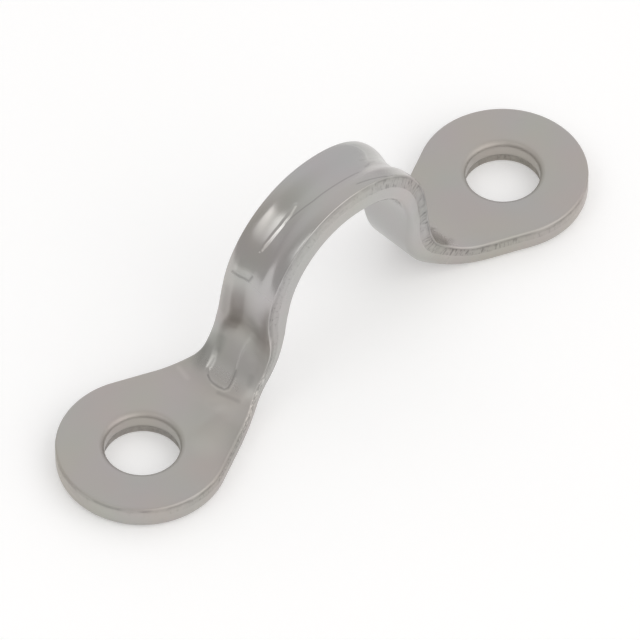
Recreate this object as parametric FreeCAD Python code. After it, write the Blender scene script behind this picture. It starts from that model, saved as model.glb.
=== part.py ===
import FreeCAD, Part
import math
import os

# Fender eye: one strip of stainless steel sheet, blanked, pierced, coined and bent.
# Two round lugs lie flat on the deck and a bowed strap stands up between them.
# The origin is midway between the two screw holes, on the underside of the lugs.
# X runs through both holes, Y across the strap, Z up. All lengths are in millimetres.

# the sheet and the outline of the flat blank
sheet_thickness = 3.0
lug_diameter = 18.3
strap_width = 7.5
taper_angle = 24.5
neck_radius = 6.0

# the two screw holes, pierced from the top face
hole_spacing = 54.0
hole_diameter = 8.0
hole_lip_width = 0.8
hole_lip_depth = 0.4
hole_smooth_wall = 0.8
hole_breakout_diameter = 8.3

# the bend, measured on the face that ends up outside; the shoulder towards the far lug is fuller
crown_height = 22.8
arch_radius = 12.0
leg_straight = 1.3
foot_bend_radius = 6.7
far_shoulder_fullness = 0.4

# the trough coined along the outer face of the strap
trough_depth = 0.45
trough_floor_width = 2.3
trough_side_land = 0.85
trough_end_gap = 3.4
trough_run_out = 2.0

# the upper edges are broken by tumbling, and the blanking die rolled the lower ones over
top_edge_break = 0.3
lug_under_edge_roll = 0.6
strap_under_edge_roll = 0.35

# bending draws the outside of a bend narrower and squeezes the inside wider by this share of the strain
side_strain_share = 0.5

# how far apart the sections of the strap stand, and how many points span its outer face
station_step = 2.4
section_points = 11

half_sheet = sheet_thickness / 2
lug_radius = lug_diameter / 2
half_strap = strap_width / 2
half_floor = trough_floor_width / 2
half_mouth = half_strap - trough_side_land
hole_x = hole_spacing / 2
taper = math.radians(taper_angle)
arch_spread = side_strain_share * half_sheet / (arch_radius - half_sheet)
foot_spread = side_strain_share * half_sheet / (foot_bend_radius + half_sheet)

# the leg is the common tangent of the arch and the foot bend, so it leans as the heights need
arch_centre_z = crown_height - arch_radius
bend_centre_z = sheet_thickness + foot_bend_radius
radius_sum = arch_radius + foot_bend_radius
centre_rise = arch_centre_z - bend_centre_z
leg_lean = (math.atan2(leg_straight, radius_sum)
            - math.asin(centre_rise / math.hypot(radius_sum, leg_straight)))
bend_centre_x = radius_sum * math.cos(leg_lean) + leg_straight * math.sin(leg_lean)
turn = math.pi / 2 - leg_lean

# lengths along the middle of the sheet, from the crown out to the flat foot
arch_run = turn * (arch_radius - half_sheet)
bend_start = arch_run + leg_straight
bend_end = bend_start + turn * (foot_bend_radius + half_sheet)
foot_run = hole_x - bend_centre_x
trough_end = bend_end - trough_end_gap

# the taper line meets the side of the strap at this run from the hole, and the neck arc rounds it
taper_corner = (lug_radius / math.cos(taper) - half_strap) / math.tan(taper)
neck_reach = neck_radius * math.tan(taper / 2)


def smooth(value):
    """Rise from 0 to 1 with level ends."""
    value = min(max(value, 0.0), 1.0)
    return value * value * (3 - 2 * value)


def blank_side(run):
    """Half the width of the flat blank and its slope, at a run from the hole towards the crown."""
    if run <= taper_corner - neck_reach * math.cos(taper):
        return lug_radius / math.cos(taper) - run * math.tan(taper), math.tan(taper)
    if run >= taper_corner + neck_reach:
        return half_strap, 0.0
    along = taper_corner + neck_reach - run
    drop = math.sqrt(neck_radius ** 2 - along ** 2)
    return half_strap + neck_radius - drop, along / drop


# the spread grows from the flat foot at the rate that keeps the edges straight where the bend starts
foot_half_width = blank_side(foot_run)[0]
spread_run = math.pi / 4 * foot_half_width / math.tan(taper)


def arch_point(angle, fullness):
    """Place and turn of the outer face on the arch, whose shoulder stands out by the fullness."""
    share = math.pi * angle / turn
    radius = arch_radius + fullness * math.sin(share) ** 2
    growth = fullness * math.pi / turn * math.sin(2 * share)
    return (radius * math.sin(angle), arch_centre_z + radius * math.cos(angle),
            angle - math.atan2(growth, radius))


def path_point(run, fullness):
    """Place of the outer face at a run from the crown, and its turn away from level."""
    if run <= arch_run:
        return arch_point(run / (arch_radius - half_sheet), fullness)
    if run <= bend_start:
        down = run - arch_run
        x = arch_radius * math.sin(turn) + down * math.cos(turn)
        z = arch_centre_z + arch_radius * math.cos(turn) - down * math.sin(turn)
        return x, z, turn
    angle = turn - (run - bend_start) / (foot_bend_radius + half_sheet)
    x = bend_centre_x - foot_bend_radius * math.sin(angle)
    z = bend_centre_z - foot_bend_radius * math.cos(angle)
    return x, z, angle


def edge_spread(run):
    """How much wider the outer face is than the middle of the sheet, as a share of its width."""
    to_foot = (bend_end - run) / spread_run
    foot_part = foot_spread * math.sin(math.pi / 2 * min(max(to_foot, 0.0), 1.0))
    from_middle = run - (arch_run + bend_start) / 2
    share = smooth((from_middle / sheet_thickness + 1) / 2)
    return share * foot_part - (1 - share) * arch_spread


def trough_sink(run, y):
    """Depth of the trough below the outer face at a run from the crown and a side distance."""
    along = smooth((trough_end - run) / trough_run_out)
    across = smooth((half_mouth - abs(y)) / (half_mouth - half_floor))
    return trough_depth * along * across


def under_edge_roll(run):
    """The width of the roll-over under the edge, which grows from the strap to the lug round the bend."""
    share = smooth((run - bend_start) / (bend_end - bend_start))
    return strap_under_edge_roll + share * (lug_under_edge_roll - strap_under_edge_roll)


def section(signed_run):
    """The section at a run from the crown: points across the outer face, then corners down one side."""
    run = abs(signed_run)
    side = math.copysign(1, signed_run)
    x, z, angle = path_point(run, far_shoulder_fullness if signed_run > 0 else 0)
    half, slope = blank_side(foot_run + bend_end - run)
    spread = edge_spread(run)
    outward = FreeCAD.Vector(side * math.sin(angle), 0, math.cos(angle))
    middle = FreeCAD.Vector(side * x, 0, z)
    top = middle + FreeCAD.Vector(0, half * (1 + spread), 0)
    under = middle - outward * sheet_thickness + FreeCAD.Vector(0, half * (1 - spread), 0)
    down = (under - top).normalize()
    inward = FreeCAD.Vector(0, -math.hypot(1, slope), 0)
    roll = under_edge_roll(run)
    corners = [top + inward * top_edge_break, top + down * top_edge_break,
               under - down * roll, under + inward * roll]
    outer_face = []
    for step in range(section_points):
        y = corners[0].y * (2 * step / (section_points - 1) - 1)
        sink = trough_sink(run, y / (1 + spread))
        outer_face.append(middle - outward * sink + FreeCAD.Vector(0, y, 0))
    return outer_face, corners


def stations():
    """Signed runs from one flat foot to the other, with one wherever the section's law changes."""
    runs = [0.0]
    for end in (arch_run, bend_start, trough_end - trough_run_out, trough_end, bend_end):
        start = runs[-1]
        pieces = math.ceil((end - start) / station_step)
        runs += [start + (end - start) * (i + 1) / pieces for i in range(pieces)]
    return [-run for run in reversed(runs[1:])] + runs


def foot_direction(point, edge_y):
    """How a line along the strap passes into the lug: level, and fanned out like the lug's sides."""
    depth = sheet_thickness - point.z
    speed = (foot_bend_radius + depth) / (foot_bend_radius + half_sheet)
    fan = point.y / edge_y * math.copysign(math.tan(taper), point.x)
    return FreeCAD.Vector(speed, speed * fan, 0)


def along_strap(points, runs, edge_y):
    """A smooth curve through one point of every section, level at both ends."""
    curve = Part.BSplineCurve()
    curve.interpolate(Points=points, Parameters=runs, InitialTangent=foot_direction(points[0], edge_y),
                      FinalTangent=foot_direction(points[-1], edge_y), Scale=False)
    return curve


def across_strap(points):
    """A smooth curve through the points across one section."""
    curve = Part.BSplineCurve()
    curve.interpolate(Points=points, Parameters=[i / (len(points) - 1) for i in range(len(points))])
    return curve


def outer_skin(rows, runs):
    """The outer face with its trough: the poles of the curves across are joined up along the strap."""
    across = [across_strap(points) for points in rows]
    columns = list(zip(*[curve.getPoles() for curve in across]))
    along = [along_strap(list(column), runs, rows[0][-1].y) for column in columns]
    surface = Part.BSplineSurface()
    surface.buildFromPolesMultsKnots([curve.getPoles() for curve in along],
                                     across[0].getMultiplicities(), along[0].getMultiplicities(),
                                     across[0].getKnots(), along[0].getKnots(),
                                     False, False, across[0].Degree, along[0].Degree)
    return surface


def mirrored(points):
    """The same points on the other side of the strap."""
    return [FreeCAD.Vector(point.x, -point.y, point.z) for point in points]


def strap():
    """The bowed strap between the two flat lugs."""
    runs = stations()
    outer_rows, corner_rows = zip(*[section(run) for run in runs])
    rings = [corners + mirrored(reversed(corners)) for corners in corner_rows]
    lines = [along_strap(list(column), runs, abs(column[0].y)).toShape() for column in zip(*rings)]
    faces = [outer_skin(outer_rows, runs).toShape()]
    faces += [Part.makeRuledSurface(a, b) for a, b in zip(lines, lines[1:])]
    faces += [Part.Face(Part.makePolygon(ring + ring[:1])) for ring in (rings[0], rings[-1])]
    shell = Part.Shell(faces)
    shell.sewShape()
    solid = Part.Solid(shell)
    solid.fix(1e-6, 1e-6, 1e-6)
    return solid


def rim(blank, z):
    """The edges of a lug's outline at a height, apart from the end that meets the strap."""
    def in_outline(edge):
        level = all(abs(vertex.Point.z - z) < sheet_thickness / 100 for vertex in edge.Vertexes)
        return level and edge.BoundBox.XLength > sheet_thickness / 10

    return [edge for edge in blank.Edges if in_outline(edge)]


def lug(side):
    """One flat round lug with its taper and its rounded edges, up to where the foot bend starts."""
    touch = lug_radius * math.sin(taper)
    touch_y = lug_radius * math.cos(taper)
    near = [FreeCAD.Vector(side * (hole_x - touch), y, 0) for y in (-touch_y, touch_y)]
    far = FreeCAD.Vector(side * (hole_x + lug_radius), 0, 0)
    ends = [FreeCAD.Vector(side * bend_centre_x, y, 0) for y in (foot_half_width, -foot_half_width)]
    corners = [near[1]] + ends + [near[0]]
    edges = [Part.Arc(near[0], far, near[1]).toShape()]
    edges += [Part.makeLine(a, b) for a, b in zip(corners, corners[1:])]
    blank = Part.Face(Part.Wire(edges)).extrude(FreeCAD.Vector(0, 0, sheet_thickness))
    blank = blank.makeChamfer(top_edge_break, rim(blank, sheet_thickness))
    return blank.makeChamfer(lug_under_edge_roll, rim(blank, 0))


def quarter_curve(start, corner, end):
    """A quarter of an ellipse from start to end, tangent to the two lines that meet at the corner."""
    handle = 4 / 3 * (math.sqrt(2) - 1)
    curve = Part.BezierCurve()
    curve.setPoles([start, start + (corner - start) * handle, end + (corner - end) * handle, end])
    return curve.toShape()


def pierced_hole(side):
    """What the piercing punch takes out: soft lip, smooth wall, then the wider broken wall."""
    radius = hole_diameter / 2
    lip_radius = radius + hole_lip_width
    broken_radius = hole_breakout_diameter / 2
    lip_z = sheet_thickness - hole_lip_depth
    wall_z = lip_z - hole_smooth_wall
    clear_z = sheet_thickness + half_sheet

    def at(distance, z):
        return FreeCAD.Vector(distance, 0, z)

    corners = [at(radius, lip_z), at(radius, wall_z), at(broken_radius, 0), at(broken_radius, -half_sheet),
               at(0, -half_sheet), at(0, clear_z), at(lip_radius, clear_z), at(lip_radius, sheet_thickness)]
    edges = [Part.makeLine(a, b) for a, b in zip(corners, corners[1:])]
    edges.append(quarter_curve(corners[-1], at(radius, sheet_thickness), corners[0]))
    profile = Part.Face(Part.Wire(edges))
    tool = profile.revolve(FreeCAD.Vector(), FreeCAD.Vector(0, 0, 1), 360)
    tool.translate(FreeCAD.Vector(side * hole_x, 0, 0))
    return tool


def fender_eye():
    """The finished piece: strap and lugs as one solid, with both holes through."""
    whole = strap().fuse([lug(-1), lug(1)]).removeSplitter()
    return whole.cut([pierced_hole(-1), pierced_hole(1)])


os.makedirs("parts", exist_ok=True)
piece = fender_eye().Solids[0]
piece.exportStep("parts/fender_eye.step")
box = piece.BoundBox
print("fender_eye: %.1f x %.1f x %.1f mm, %.0f cubic mm, valid %s"
      % (box.XLength, box.YLength, box.ZLength, piece.Volume, piece.isValid()))
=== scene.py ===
# %% [markdown]
# # A fender eye, pressed from one strip of stainless steel
#
# The real object is a strip of 3 mm sheet. A tool blanks its outline and pierces two screw holes,
# a punch coins a shallow trough along the strap, and a press bends the strap up into a bow.
# Afterwards it is tumbled, which leaves soft edges and a satin skin.
#
# This file builds it in the same order, and that order is the lesson. First comes a flat blank with
# true sheared edges, then a Geometry Nodes tree presses and bends it, and the finish comes last.
# A blank is easy to describe in a plane, and the bend is one rule that moves every point of it.

import math

import bmesh
import bpy
import numpy as np
from mathutils import Matrix, Vector


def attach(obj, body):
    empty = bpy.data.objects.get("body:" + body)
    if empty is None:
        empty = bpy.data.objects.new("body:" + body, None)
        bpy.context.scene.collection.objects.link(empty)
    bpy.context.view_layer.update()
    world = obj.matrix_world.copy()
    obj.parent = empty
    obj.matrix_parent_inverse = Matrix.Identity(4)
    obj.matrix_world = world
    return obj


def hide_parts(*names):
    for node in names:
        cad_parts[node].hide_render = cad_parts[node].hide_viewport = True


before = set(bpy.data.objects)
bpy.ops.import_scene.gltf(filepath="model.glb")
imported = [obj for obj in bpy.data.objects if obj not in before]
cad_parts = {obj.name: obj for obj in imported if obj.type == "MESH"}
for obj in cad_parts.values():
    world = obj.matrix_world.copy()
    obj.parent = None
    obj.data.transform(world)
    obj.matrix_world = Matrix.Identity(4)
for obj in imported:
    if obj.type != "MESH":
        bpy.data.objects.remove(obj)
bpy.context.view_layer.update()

# %% [markdown]
# ## Sizes
#
# Lengths are written in millimetres and multiplied by MM, because Blender works in metres here.
# They are the driving sizes of the part: the sheet, the blank's outline, the holes and the bend.
# Everything further down is worked out from them.

# %% The driving sizes
MM = 0.001
SHEET = 3.0 * MM
LUG_RADIUS = 9.14 * MM
HALF_STRAP = 3.75 * MM
TAPER = math.radians(24.5)
NECK_RADIUS = 6.0 * MM
HOLE_X = 27.0 * MM
HOLE_RADIUS = 4.0 * MM
CROWN_HEIGHT = 22.8 * MM
ARCH_RADIUS = 12.0 * MM
LEG_STRAIGHT = 1.3 * MM
FOOT_BEND_RADIUS = 6.7 * MM
FAR_SHOULDER_FULLNESS = 0.4 * MM
SIDE_STRAIN_SHARE = 0.5
print("sheet %.1f mm, holes %.1f mm apart, crown %.1f mm high"
      % (SHEET / MM, 2 * HOLE_X / MM, CROWN_HEIGHT / MM))

# %% [markdown]
# ## From the bow back to the flat blank
#
# Seen from the side, the strap runs over the arch, down a short straight leg and round the foot bend.
# The leg touches both circles, so its lean follows from the two radii, the height of the crown and
# the leg's own length. The middle of a sheet keeps its length in a bend. Lengths along the blank are
# therefore measured on that middle line, counted from the crown.

# %% The bend, and lengths along the blank
radius_sum = ARCH_RADIUS + FOOT_BEND_RADIUS
centre_rise = (CROWN_HEIGHT - ARCH_RADIUS) - (SHEET + FOOT_BEND_RADIUS)
leg_lean = (math.atan2(LEG_STRAIGHT, radius_sum)
            - math.asin(centre_rise / math.hypot(radius_sum, LEG_STRAIGHT)))
TURN = math.pi / 2 - leg_lean
BEND_CENTRE_X = radius_sum * math.cos(leg_lean) + LEG_STRAIGHT * math.sin(leg_lean)

ARCH_RUN = TURN * (ARCH_RADIUS - SHEET / 2)
BEND_START = ARCH_RUN + LEG_STRAIGHT
BEND_END = BEND_START + TURN * (FOOT_BEND_RADIUS + SHEET / 2)
HOLE_RUN = BEND_END + HOLE_X - BEND_CENTRE_X
print("flat blank: %.1f mm between hole centres, strap flat from %.1f mm"
      % (2 * HOLE_RUN / MM, BEND_END / MM))

# %% [markdown]
# ## The outline of the blank
#
# Seen flat, one quarter of the outline is four simple stretches: the straight side of the strap,
# a neck arc, a straight taper, and the lug's circle round to its tip. Each stretch is known by the
# direction that its edge faces, so one angle describes them all: 0 on the strap, the taper's angle
# on the taper, and down to minus 90 degrees at the tip. That angle gives the edge's normal as well,
# which the rounded edges need.

# %% Points round one quarter of the outline
POINT_STEP = 0.2 * MM


def steps(count):
    """Shares of a stretch at that many even steps, without its first point."""
    return np.arange(1, count + 1) / count


def spaced(length):
    """Shares of a stretch of that length, with its points about POINT_STEP apart."""
    return steps(max(2, round(length / POINT_STEP)))


def quarter_outline():
    """Run from the crown, side distance and facing angle of points from the crown to the lug's tip."""
    # places are first counted from the hole towards the crown, and turned round at the end
    corner = (LUG_RADIUS / math.cos(TAPER) - HALF_STRAP) / math.tan(TAPER)
    reach = NECK_RADIUS * math.tan(TAPER / 2)
    strap_length = HOLE_RUN - corner - reach
    neck_end = np.array([corner - reach * math.cos(TAPER), HALF_STRAP + reach * math.sin(TAPER)])
    touch = LUG_RADIUS * np.array([math.sin(TAPER), math.cos(TAPER)])
    stretches = [np.array([[HOLE_RUN, HALF_STRAP, 0.0]])]
    share = spaced(strap_length)
    stretches.append(np.stack([HOLE_RUN - share * strap_length, HALF_STRAP + 0 * share, 0 * share], 1))
    angle = TAPER * spaced(NECK_RADIUS * TAPER)
    stretches.append(np.stack([corner + reach - NECK_RADIUS * np.sin(angle),
                               HALF_STRAP + NECK_RADIUS * (1 - np.cos(angle)), angle], 1))
    share = spaced(np.linalg.norm(neck_end - touch))[:, None]
    stretches.append(np.hstack([neck_end + share * (touch - neck_end), TAPER + 0 * share]))
    angle = TAPER - (TAPER + math.pi / 2) * spaced(LUG_RADIUS * (TAPER + math.pi / 2))
    stretches.append(np.stack([LUG_RADIUS * np.sin(angle), LUG_RADIUS * np.cos(angle), angle], 1))
    from_hole, side, facing = np.vstack(stretches).T
    return HOLE_RUN - from_hole, side, facing


run, side, facing = quarter_outline()
edge_length = np.concatenate([[0], np.cumsum(np.hypot(np.diff(run), np.diff(side)))])
# the outline point where the strap becomes a lug, and the one at the lug's tip
JOINT = int(np.searchsorted(run, BEND_END))
TIP = len(run) - 1
print("%d points in a quarter, %.1f mm of edge" % (len(run), edge_length[-1] / MM))

# %% [markdown]
# ## What a shearing tool leaves
#
# A punch does not leave a square, clean edge. Going down from the face, the edge starts with a small
# rounding, then comes a torn band, a burnished band that the tool rubbed smooth, and a roll-over
# where the sheet was dragged along before it parted. The profile below is a list of short stretches.
# Each point has an inset from the outline, a depth below the upper face, and how torn it is.

# %% Profile of the sheared edge
TOP_ROUND_LUG, TOP_ROUND_STRAP = 0.28 * MM, 0.12 * MM
ROLL_LUG, ROLL_STRAP = 0.95 * MM, 0.65 * MM
TORN_SHARE = 0.6
# a small ledge where the torn band begins, which dies away over about one row
LEDGE, LEDGE_ROWS = 0.05 * MM, 0.8
# tears start fast, and fade over the last part of their band
TEAR_START, TEAR_STOP_AT, TEAR_STOP = 5, 0.85, 6
ROUND_STEPS, TORN_STEPS, BURNISH_STEPS, ROLL_STEPS = 6, 10, 4, 7


def smooth(value):
    """Rise from 0 to 1 with level ends."""
    value = np.clip(value, 0.0, 1.0)
    return value * value * (3 - 2 * value)


def before_stop(share):
    """1 along a torn band, and nearly 0 at its end."""
    return 1 - smooth((share - TEAR_STOP_AT) * TEAR_STOP)


def edge_profile(at_run):
    """Inset, depth and tornness down the edge at a run from the crown, from upper to lower face."""
    to_lug = smooth((at_run - BEND_START) / (BEND_END - BEND_START))
    top = TOP_ROUND_STRAP + (TOP_ROUND_LUG - TOP_ROUND_STRAP) * to_lug
    roll = ROLL_STRAP + (ROLL_LUG - ROLL_STRAP) * to_lug
    turn = np.linspace(0, math.pi / 2, ROUND_STEPS + 1)
    rows = [np.stack([top * (1 - np.sin(turn)), top * (1 - np.cos(turn)), 0 * turn], 1)]
    wall = SHEET - top - roll
    border = top + TORN_SHARE * wall
    share = steps(TORN_STEPS)
    torn = smooth(share * TEAR_START) * before_stop(share)
    ledge = LEDGE * np.exp(-((share * TORN_STEPS - 1) / LEDGE_ROWS) ** 2)
    rows.append(np.stack([ledge, top + share * (border - top), torn], 1))
    share = steps(BURNISH_STEPS)
    rows.append(np.stack([0 * share, border + share * (1 - TORN_SHARE) * wall, 0 * share], 1))
    turn = np.linspace(0, math.pi / 2, ROLL_STEPS + 1)[1:]
    rows.append(np.stack([roll * (1 - np.cos(turn)), SHEET - roll * (1 - np.sin(turn)), 0 * turn], 1))
    return np.vstack(rows)


print("edge profile:", len(edge_profile(BEND_END)), "points from face to face")

# %% [markdown]
# ## How torn the edge is, all round
#
# A tool wears unevenly, so the edge isn't torn alike everywhere. On the near side the lug is clean,
# its taper is rough, the bow is fairly clean and the far leg is rough. A short table says so: places
# along the strap in millimetres from the crown, each with a strength from 0 to 1.

# %% Tear strength along both edges
NEAR_EDGE = ((-50, 0.2), (-44, 0.2), (-40, 0.4), (-36, 0.85), (-28, 0.9), (-24, 0.7), (-18, 0.5),
             (-8, 0.42), (2, 0.45), (6, 0.7), (9, 0.95), (20, 1.0), (27, 0.9), (32, 0.5), (40, 0.3),
             (50, 0.2))
OTHER_EDGE = ((-50, 0.2), (-36, 0.6), (-20, 0.7), (0, 0.4), (20, 0.8), (36, 0.6), (50, 0.2))


def tear(at_run, x_sign, y_sign):
    """How strongly the torn band shows at a run from the crown, on either side of the strap."""
    places, strengths = zip(*(NEAR_EDGE if y_sign < 0 else OTHER_EDGE))
    return float(np.interp(at_run * x_sign / MM, places, strengths))


print("near edge at the crown: torn %.2f, at the far leg %.2f" % (tear(0, 1, -1), tear(15 * MM, 1, -1)))

# %% [markdown]
# ## A pierced hole
#
# A punch leaves the same bands in a hole: a soft lip, a wall that it rubbed smooth, and a slightly
# wider broken wall below, where the slug tore off. The profile is written as for the outer edge, with
# a radius in place of the inset.

# %% Profile of a pierced hole
LIP_WIDTH, LIP_DEPTH = 0.8 * MM, 0.55 * MM
SMOOTH_WALL = 1.05 * MM
BROKEN_RADIUS = 4.18 * MM
BURR_BREAK = 0.12 * MM
# the broken wall is reached within half its height, and is torn less than the outer edge
BROKEN_WIDENING, HOLE_TEAR_START, HOLE_TORN = 2.2, 3, 0.4
LIP_STEPS, SMOOTH_STEPS, BROKEN_STEPS, BREAK_STEPS = 7, 4, 9, 2


def hole_profile():
    """Radius, depth and tornness down a hole: soft lip, smooth wall, broken wall, broken edge."""
    turn = np.linspace(0, math.pi / 2, LIP_STEPS + 1)
    rows = [np.stack([HOLE_RADIUS + LIP_WIDTH * (1 - np.sin(turn)), LIP_DEPTH * (1 - np.cos(turn)),
                      0 * turn], 1)]
    share = steps(SMOOTH_STEPS)
    rows.append(np.stack([HOLE_RADIUS + 0 * share, LIP_DEPTH + share * SMOOTH_WALL, 0 * share], 1))
    share = steps(BROKEN_STEPS)
    wall_end = LIP_DEPTH + SMOOTH_WALL
    rows.append(np.stack([HOLE_RADIUS + (BROKEN_RADIUS - HOLE_RADIUS) * smooth(share * BROKEN_WIDENING),
                          wall_end + share * (SHEET - BURR_BREAK - wall_end),
                          HOLE_TORN * smooth(share * HOLE_TEAR_START) * before_stop(share)], 1))
    share = steps(BREAK_STEPS)
    rows.append(np.stack([BROKEN_RADIUS + share * BURR_BREAK, SHEET - BURR_BREAK * (1 - share),
                          0 * share], 1))
    return np.vstack(rows)


hole_rows = hole_profile()
print("hole profile:", len(hole_rows), "points from face to face")

# %% [markdown]
# ## The flat blank as a mesh
#
# The blank is all quads, so that it bends cleanly. Rows run across the strap from edge to edge.
# On each lug, rays run from the outline in to the hole. The edge and the holes are bands of quads
# whose first and last rings are the outermost points of the two faces. Points are kept in a small
# store that gives every point its number once, so the bands and faces share points and the skin
# is closed.

# %% A store for points and quads
class Blank:
    """Points of the flat blank with what each one knows about itself, and the quads between them."""

    def __init__(self):
        self.points = []
        self.out = []
        self.torn = []
        self.along = []
        self.grime = []
        self.quads = []

    def add(self, x, y, depth, out=(0.0, 0.0), torn=0.0, along=0.0, grime=0.0):
        self.points.append((x, y, -depth))
        self.out.append((out[0], out[1], 0.0))
        self.torn.append(torn)
        self.along.append(along)
        self.grime.append(grime)
        return len(self.points) - 1

    def band(self, rings, closed):
        """Quads between neighbouring rings, which all have as many points."""
        for a, b in zip(rings, rings[1:]):
            last = len(a) if closed else len(a) - 1
            for i in range(last):
                j = (i + 1) % len(a)
                self.quads.append((a[i], a[j], b[j], b[i]))


blank = Blank()
print("points in the store so far:", len(blank.points))

# %% [markdown]
# ## The band round the outline
#
# One quarter of the outline is mirrored into four, and the profile hangs from every point of it.
# Each point of the band remembers which way is out, how torn it is, how far round the edge it lies,
# and how much painted shade it holds. The painted shade is a thin dark line in the corner just under
# the upper rounding.

# %% One column of points down the edge
# how dark the painted shade in the corner under the upper rounding is
CORNER_PAINTED_SHADE = 0.8
# shares of that painted shade by row, counted from the upper face
PAINTED_SHADE_ROWS = {ROUND_STEPS - 2: 0.4, ROUND_STEPS - 1: 0.75, ROUND_STEPS: 0.9, ROUND_STEPS + 1: 1.0}
profiles = [edge_profile(at_run) for at_run in run]


def edge_column(i, x_sign, y_sign, along):
    """The points down the edge at outline point i of one quarter."""
    out = np.array([-math.sin(facing[i]) * x_sign, math.cos(facing[i]) * y_sign])
    place = np.array([run[i] * x_sign, side[i] * y_sign])
    strength = tear(run[i], x_sign, y_sign)
    return [blank.add(*(place - out * inset), depth, out, torn * strength, along,
                      CORNER_PAINTED_SHADE * PAINTED_SHADE_ROWS.get(row, 0.0))
            for row, (inset, depth, torn) in enumerate(profiles[i])]


print("grime on rows", sorted(PAINTED_SHADE_ROWS), "of", len(profiles[0]))

# %% All four quarters of the edge
# for each quarter: its signs, where its crown end lies round the edge (in quarters), its direction
QUARTERS = ((1, 1, 0, 1), (1, -1, 2, -1), (-1, -1, 2, 1), (-1, 1, 4, -1))
columns, ordered = {}, []
for x_sign, y_sign, start, direction in QUARTERS:
    for i in range(TIP) if direction > 0 else range(TIP, 0, -1):
        along = start * edge_length[-1] + direction * edge_length[i]
        column = edge_column(i, x_sign, y_sign, along)
        columns[(i, x_sign, y_sign)] = column
        ordered.append(column)

# neighbouring quarters meet at the crown and at the tips, and share their columns there
for missing, shared in (((0, -1, 1), (0, 1, 1)), ((0, 1, -1), (0, -1, -1)),
                        ((TIP, 1, 1), (TIP, 1, -1)), ((TIP, -1, -1), (TIP, -1, 1))):
    columns[missing] = columns[shared]
blank.band(list(zip(*ordered)), closed=True)
print("edge band:", len(blank.quads), "quads")

# %% [markdown]
# ## The two faces
#
# The upper and the lower face are made alike, from the first and the last point of each column. Rows
# across the strap have their points closer together where the trough's floor meets its walls. On the
# lug, the outline shrinks in even steps to the rim of the hole.

# %% Rows across the strap
UPPER, LOWER = 0, -1
# stops across the strap in millimetres, and how many quads lie between each two
ROW_STOPS = (-3.75, -1.5, -0.4, 0.1, 1.1, 3.75)
ROW_COUNTS = (8, 9, 3, 8, 20)
half_row = ROW_STOPS[-1]
row_shares = np.concatenate([[-1]] + [a / half_row + (b - a) / half_row * np.arange(1, n + 1) / n
                                      for a, b, n in zip(ROW_STOPS, ROW_STOPS[1:], ROW_COUNTS)])


def strap_row(i, x_sign, face):
    """Numbers of the points across the strap at outline point i, on the upper or the lower face."""
    high, low = columns[(i, x_sign, 1)][face], columns[(i, x_sign, -1)][face]
    x_edge, y_edge, z = blank.points[high]
    row = [low]
    for share in row_shares[1:-1]:
        # straight across, and only near its ends does the row bow out to where the edge is
        x = run[i] * x_sign + (x_edge - run[i] * x_sign) * share ** 4
        row.append(blank.add(x, y_edge * share, -z))
    return row + [high]


print("a row across the strap:", len(row_shares), "points")

# %% Rings on a lug, and the wall of its hole
RAY_STEPS = 12
# painted shade in the broken wall of a hole, as strong as the wall is torn
HOLE_PAINTED_SHADE = 0.5


def lug_rings(x_sign, face, radius, end_row):
    """Rings from the outline of one lug in to its hole. The last ring is the hole's rim."""
    outer = list(end_row)
    outer += [columns[(i, x_sign, 1)][face] for i in range(JOINT + 1, TIP + 1)]
    outer += [columns[(i, x_sign, -1)][face] for i in range(TIP - 1, JOINT, -1)]
    places = np.array([blank.points[k] for k in outer])
    centre = np.array([HOLE_RUN * x_sign, 0.0])
    ray = places[:, :2] - centre
    inner = ray / np.linalg.norm(ray, axis=1)[:, None] * radius
    rings = [outer]
    for share in steps(RAY_STEPS):
        at = centre + ray + (inner - ray) * share
        rings.append([blank.add(x, y, -places[0, 2]) for x, y in at])
    return rings


def hole_wall(x_sign, upper_rim, lower_rim):
    """The band of quads down one hole, from its rim on the upper face to that on the lower."""
    centre = np.array([HOLE_RUN * x_sign, 0.0])
    rays = np.array([blank.points[k][:2] for k in upper_rim]) - centre
    rays /= np.linalg.norm(rays, axis=1)[:, None]
    bearing = np.unwrap(np.arctan2(rays[:, 1], rays[:, 0]))
    rings = [upper_rim]
    for radius, depth, torn in hole_rows[1:-1]:
        grime = HOLE_PAINTED_SHADE * torn / HOLE_TORN
        rings.append([blank.add(*(centre + ray * radius), depth, -ray, torn, angle * HOLE_RADIUS, grime)
                      for ray, angle in zip(rays, bearing)])
    blank.band(rings + [lower_rim], closed=True)


print("a lug:", RAY_STEPS, "rings from its outline to the hole")

# %% Fill the faces
middle_row = {}
for x_sign in (1, -1):
    rims = []
    for face, radius in ((UPPER, hole_rows[0, 0]), (LOWER, hole_rows[-1, 0])):
        first = 0 if x_sign > 0 else 1
        rows = [strap_row(i, x_sign, face) for i in range(first, JOINT + 1)]
        # both halves of the strap share the row at the crown
        if x_sign > 0:
            middle_row[face] = rows[0]
        else:
            rows = [middle_row[face]] + rows
        blank.band(rows, closed=False)
        rings = lug_rings(x_sign, face, radius, rows[-1])
        blank.band(rings, closed=True)
        rims.append(rings[-1])
    hole_wall(x_sign, *rims)
print("flat blank: %d points, %d quads" % (len(blank.points), len(blank.quads)))

# %% [markdown]
# ## From numbers to an object
#
# What the points know travels with the mesh as named attributes, so the tree that bends the blank and
# the steel can both read it. The faces are turned outwards while the blank is still flat. An edge
# with more or fewer than two faces would be a gap or a doubled skin, so those are counted.

# %% Make the mesh object
mesh = bpy.data.meshes.new("flat_blank")
mesh.from_pydata(blank.points, [], blank.quads)
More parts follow.
